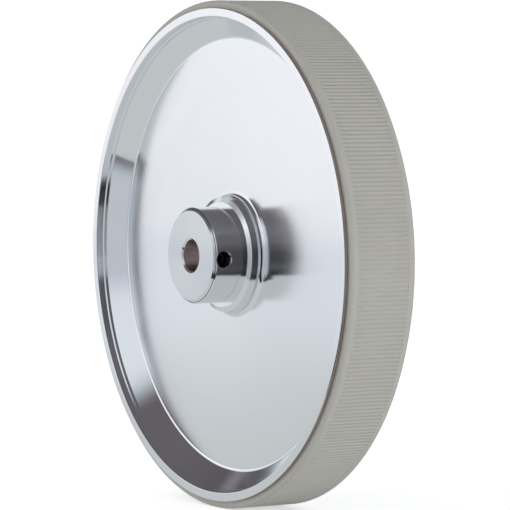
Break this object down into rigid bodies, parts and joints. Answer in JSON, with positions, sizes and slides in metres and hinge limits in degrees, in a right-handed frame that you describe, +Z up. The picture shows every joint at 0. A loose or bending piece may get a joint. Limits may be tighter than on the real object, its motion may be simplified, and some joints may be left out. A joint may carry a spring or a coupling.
{
  "type": "measuring wheel",
  "caption": "Aluminium encoder measuring wheel with a finely ribbed polymer tread, a recessed web and a plain shaft bore clamped by a radial set screw.",
  "frame": {"origin": "on the bore axis, midway between the two faces of the rim", "axes": "+Y along the bore axis, from the hub side towards the plain back; +Z up; +X towards the side of the hub that carries the set screw"},
  "size_m": [0.1592, 0.0325, 0.1592],
  "materials": {
    "turned_aluminium": "fine turned, near mirror",
    "hub_aluminium": "fine turned",
    "tread_polymer": "matte moulded polyurethane",
    "black_steel": "black oxide"
  },
  "bodies": {
    "wheel": {"wheel_disc": "turned_aluminium", "hub_sleeve": "hub_aluminium", "tread_band": "tread_polymer"},
    "set_screw": {"grub_screw": "black_steel"}
  },
  "joints": [
    {"name": "screw_travel", "type": "slide", "parent": "wheel", "child": "set_screw", "axis": [0.999, 0, -0.0436], "range_m": [-0.0008, 0.0037]}
  ]
}
